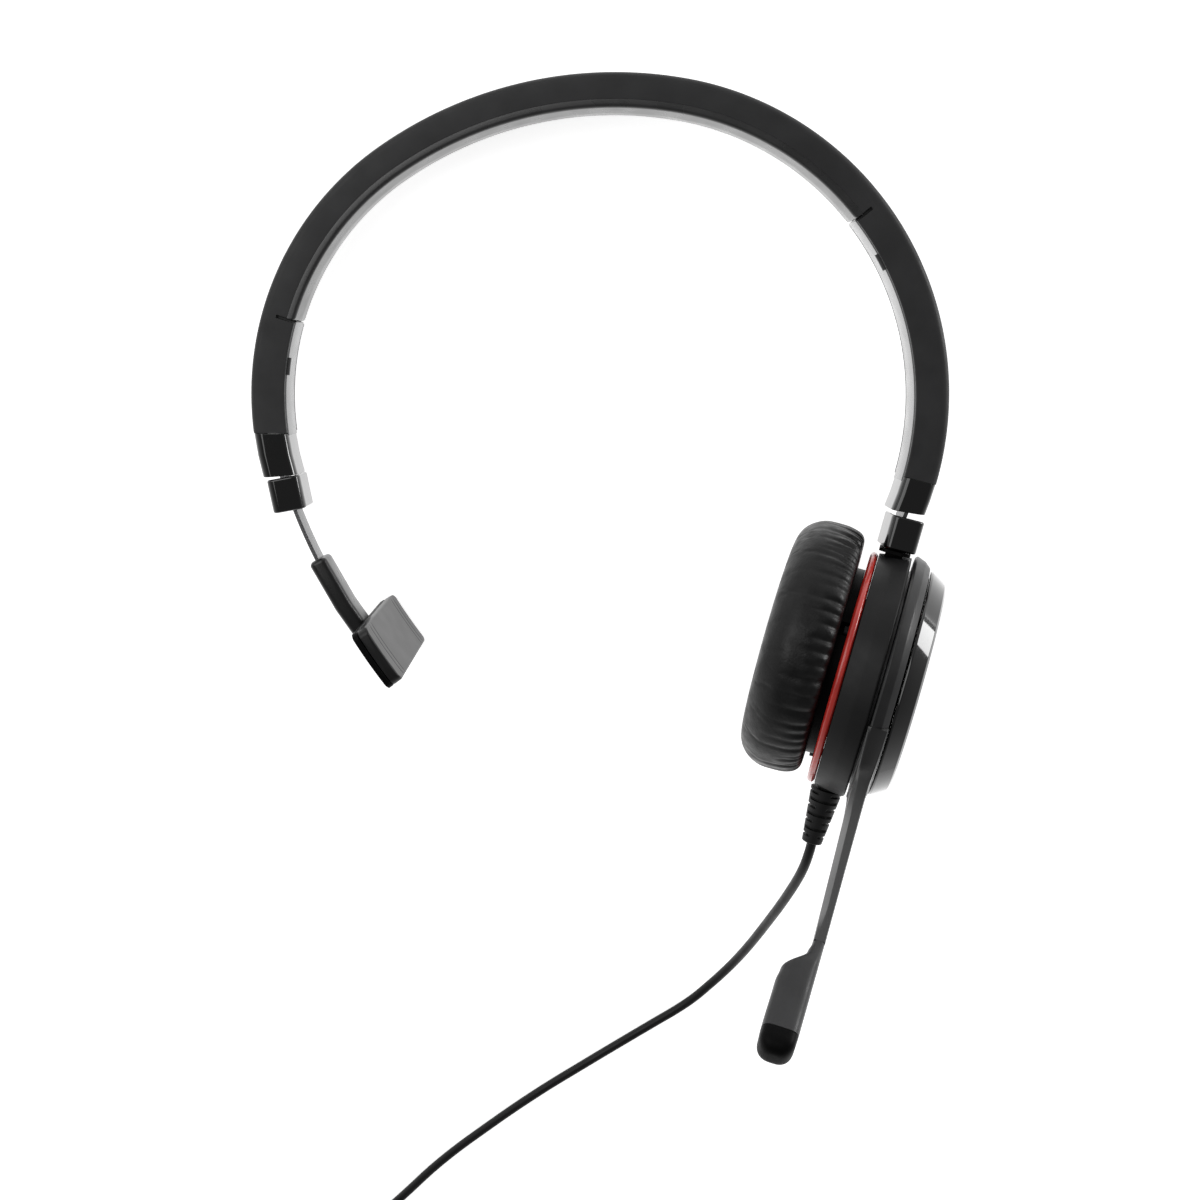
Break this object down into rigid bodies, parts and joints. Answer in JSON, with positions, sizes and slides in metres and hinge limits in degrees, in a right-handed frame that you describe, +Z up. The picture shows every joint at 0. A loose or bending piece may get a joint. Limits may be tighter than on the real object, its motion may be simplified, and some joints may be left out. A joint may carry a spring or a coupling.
{
  "type": "office headset",
  "caption": "Corded mono office headset: padded headband with sliders, swivelling ear cup, rotating boom microphone, temple rest and jack cord.",
  "frame": {"origin": "centre of the footprint of the headset lying on a table, on the table surface, cord left out", "axes": "+Z up from the table, +Y towards the crown of the headband, +X towards the ear cup"},
  "size_m": [0.1729, 0.3848, 0.1298],
  "materials": {
    "housing_grey": "fine moulded grain",
    "accent_red": "satin gloss",
    "black_plastic": "moulded",
    "screw_steel": "blackened",
    "leatherette": "soft pebble grain",
    "speaker_mesh": "open knit",
    "amber_film": "clear film",
    "basket_plastic": "moulded",
    "magnet_steel": "plated",
    "board_green": "solder mask",
    "washer_plastic": "smooth",
    "gloss_black": "high gloss",
    "cord_rubber": "matte",
    "cord_jacket": "satin",
    "tie_black": "woven",
    "contact_gold": "plated",
    "slider_steel": "blackened spring steel",
    "band_shell": "soft touch",
    "band_inner": "satin",
    "band_padding": "soft",
    "temple_rubber": "matte",
    "pad_rubber": "matte",
    "boom_ring_grey": "satin",
    "boom_rubber": "matte"
  },
  "bodies": {
    "ear_cup": {"housing_shell": "housing_grey", "accent_ring": "accent_red", "baffle_plate": "black_plastic", "baffle_screws": "screw_steel", "cushion_mount": "black_plastic", "ear_cushion": "leatherette", "speaker_cloth": "speaker_mesh", "driver_diaphragm": "amber_film", "driver_basket": "basket_plastic", "driver_magnet": "magnet_steel", "circuit_board": "board_green", "friction_washer": "washer_plastic", "outer_cap": "gloss_black", "strain_relief": "cord_rubber", "tilt_pin": "screw_steel", "cord_tube": "cord_jacket", "cord_coil": "cord_jacket", "coil_tie": "tie_black", "plug_sleeve": "cord_rubber", "plug_pin": "contact_gold", "plug_rings": "gloss_black"},
    "knuckle": {"swivel_neck": "black_plastic"},
    "right_slider": {"right_block": "gloss_black", "right_arm": "slider_steel"},
    "headband": {"band_cover": "band_shell", "band_core": "band_inner", "band_spring": "slider_steel", "crown_pad": "band_padding", "right_ferrule": "gloss_black", "left_ferrule": "gloss_black", "right_detent": "slider_steel", "left_detent": "slider_steel"},
    "left_slider": {"left_block": "gloss_black", "left_arm": "slider_steel", "temple_strip": "slider_steel"},
    "temple": {"temple_sleeve": "temple_rubber", "temple_plate": "black_plastic", "temple_pad": "pad_rubber"},
    "boom": {"boom_ring": "boom_ring_grey", "boom_arm": "boom_rubber"},
    "mic": {"mic_housing": "boom_rubber", "mic_capsule": "contact_gold", "mic_tip": "black_plastic"}
  },
  "joints": [
    {"name": "cup_tilt", "type": "hinge", "parent": "ear_cup", "child": "knuckle", "pos_m": [0.06988, -0.01967, 0.03288], "axis": [-0.2544, 0.2136, 0.9432], "range_deg": [-5, 5]},
    {"name": "cup_swivel", "type": "hinge", "parent": "knuckle", "child": "right_slider", "pos_m": [0.07187, -0.01201, 0.03168], "axis": [0.2481, 0.9571, -0.1499], "range_deg": [-31, 9]},
    {"name": "right_extend", "type": "hinge", "parent": "right_slider", "child": "headband", "pos_m": [0.00552, 0.02103, 0.02132], "axis": [-0.068, 0.1715, 0.9828], "range_deg": [0, 20]},
    {"name": "left_extend", "type": "hinge", "parent": "headband", "child": "left_slider", "pos_m": [-0.0138, 0.02094, 0.02], "axis": [-0.068, 0.1715, 0.9828], "range_deg": [0, 20]},
    {"name": "temple_flex", "type": "hinge", "parent": "left_slider", "child": "temple", "pos_m": [-0.07444, -0.01147, 0.02146], "axis": [-0.068, 0.1715, 0.9828], "range_deg": [-6, 8], "stiffness_Nm_per_rad": 0.3, "deforming": ["temple_strip"]},
    {"name": "boom_turn", "type": "hinge", "parent": "ear_cup", "child": "boom", "pos_m": [0.07035, -0.046, 0.03897], "axis": [0.9347, -0.1959, 0.2965], "range_deg": [-105, 165]},
    {"name": "boom_bend", "type": "hinge", "parent": "boom", "child": "mic", "pos_m": [0.04862, -0.07299, 0.08795], "axis": [0.0265, 0.8705, 0.4915], "range_deg": [-15, 15], "deforming": ["boom_arm"]}
  ]
}
